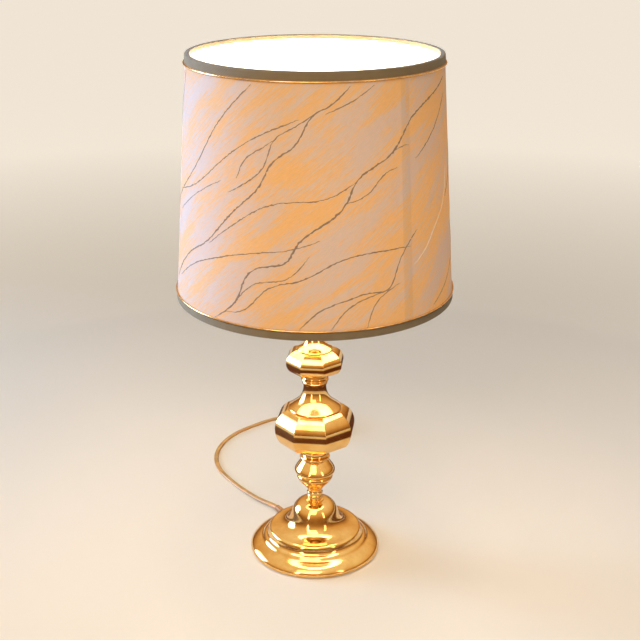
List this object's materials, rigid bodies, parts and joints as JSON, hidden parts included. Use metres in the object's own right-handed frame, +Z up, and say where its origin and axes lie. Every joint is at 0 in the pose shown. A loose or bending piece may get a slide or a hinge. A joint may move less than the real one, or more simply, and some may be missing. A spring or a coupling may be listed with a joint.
{
  "type": "table lamp with shade",
  "caption": "Brass table lamp with a spun foot, turned stem and octagonal knops, a slightly conical fabric shade, and a flat flex with its plug.",
  "frame": {"origin": "middle of the underside of the felt under the foot, on the surface that the lamp stands on", "axes": "+Z up along the stem; -Y towards the front; the flex leaves the foot at the back, left of the middle"},
  "size_m": [0.3009, 0.5176, 0.5767],
  "materials": {
    "polished_brass": "polished and clear-lacquered",
    "felt": "pressed wool felt",
    "cast_iron": "raw sand casting",
    "zinc_steel": "zinc-plated",
    "bakelite": "moulded phenolic",
    "porcelain": "glazed",
    "contact_brass": "pressed",
    "core_pvc": "extruded",
    "amber_flex": "extruded see-through PVC",
    "sleeve_pvc": "moulded PVC",
    "plug_pvc": "moulded PVC",
    "plug_pin": "nickel-plated brass",
    "white_wire": "white epoxy-coated steel wire",
    "cover_fabric": "marbled jacquard",
    "liner_film": "white PVC film",
    "tape": "woven tape",
    "piping": "shiny cord piping",
    "bulb_cap_metal": "pressed",
    "bulb_black_glass": "moulded glass",
    "bulb_opal_glass": "frosted",
    "bulb_clear_glass": "clear",
    "bulb_wire": "drawn"
  },
  "bodies": {
    "stand": {"base_felt": "felt", "base_weight": "cast_iron", "base_shell": "polished_brass", "base_washer": "zinc_steel", "base_nut": "zinc_steel", "threaded_tube": "zinc_steel", "neck_bead": "polished_brass", "lower_vase": "polished_brass", "lower_collar": "polished_brass", "knop_foot": "polished_brass", "large_knop": "polished_brass", "large_trumpet": "polished_brass", "upper_ring": "polished_brass", "upper_knop": "polished_brass", "upper_trumpet": "polished_brass", "holder_cap": "polished_brass", "holder_body": "bakelite", "holder_insert": "porcelain", "terminal_screws": "contact_brass", "core_leads": "core_pvc", "screw_shell": "contact_brass", "contact_tongue": "contact_brass", "lower_shade_ring": "bakelite", "inner_flex": "amber_flex", "flex_sleeve": "sleeve_pvc", "flex_run": "amber_flex", "flex_coil": "amber_flex", "plug_body": "plug_pvc", "plug_pins": "plug_pin"},
    "switch": {"switch_bar": "bakelite"},
    "clamp": {"clamp_ring": "bakelite"},
    "shade": {"shade_cover": "cover_fabric", "shade_liner": "liner_film", "top_wire_ring": "white_wire", "bottom_wire_ring": "white_wire", "top_band": "tape", "bottom_band": "tape", "top_piping": "piping", "bottom_piping": "piping", "shade_carrier": "white_wire"},
    "bulb": {"bulb_cap": "bulb_cap_metal", "bulb_contact": "bulb_cap_metal", "bulb_insulator": "bulb_black_glass", "bulb_glass": "bulb_opal_glass", "bulb_stem": "bulb_clear_glass", "bulb_wires": "bulb_wire", "filament": "bulb_wire"}
  },
  "joints": [
    {"name": "switch_push", "type": "slide", "parent": "stand", "child": "switch", "axis": [1, 0, 0], "range_m": [0, 0.006]},
    {"name": "shade_lift", "type": "slide", "parent": "stand", "child": "clamp", "axis": [0, 0, 1], "range_m": [0, 0.15]},
    {"name": "shade_turn", "type": "hinge", "parent": "clamp", "child": "shade", "pos_m": [0, 0, 0.347], "axis": [0, 0, 1], "continuous": true},
    {"name": "bulb_out", "type": "slide", "parent": "stand", "child": "bulb", "axis": [0, 0, 1], "range_m": [0, 0.03]}
  ]
}
